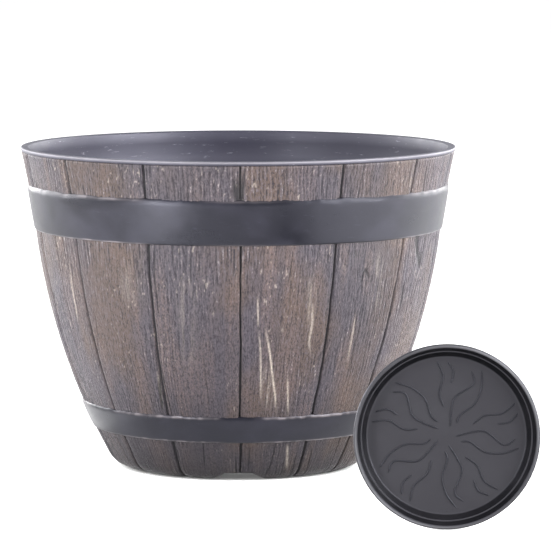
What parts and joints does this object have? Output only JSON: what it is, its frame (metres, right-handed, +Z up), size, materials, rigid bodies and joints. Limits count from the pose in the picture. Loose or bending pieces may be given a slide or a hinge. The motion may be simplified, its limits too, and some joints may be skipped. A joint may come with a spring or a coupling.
{
  "type": "flower pot",
  "caption": "Half-barrel garden pot with imitation wood staves, two dark hoops, a notched draining foot and a separate round saucer.",
  "frame": {"origin": "centre of the pot's foot, on the ground and on the pot's axis", "axes": "+Z up along the pot's axis, -Y to the front where one foot gap faces, +X to the right where the saucer stands"},
  "size_m": [0.4302, 0.5574, 0.28],
  "materials": {
    "weathered_stave": "matt moulded wood grain, dark paint with a worn tan top coat",
    "dark_hoop": "satin dark grey",
    "black_saucer": "satin black"
  },
  "bodies": {
    "pot": {"pot_shell": "weathered_stave", "upper_hoop": "dark_hoop", "lower_hoop": "dark_hoop"},
    "loose_saucer": {"saucer": "black_saucer"}
  },
  "joints": [
    {"name": "saucer_lift", "type": "slide", "parent": "pot", "child": "loose_saucer", "axis": [0, 0, 1], "range_m": [0, 0.3]}
  ]
}
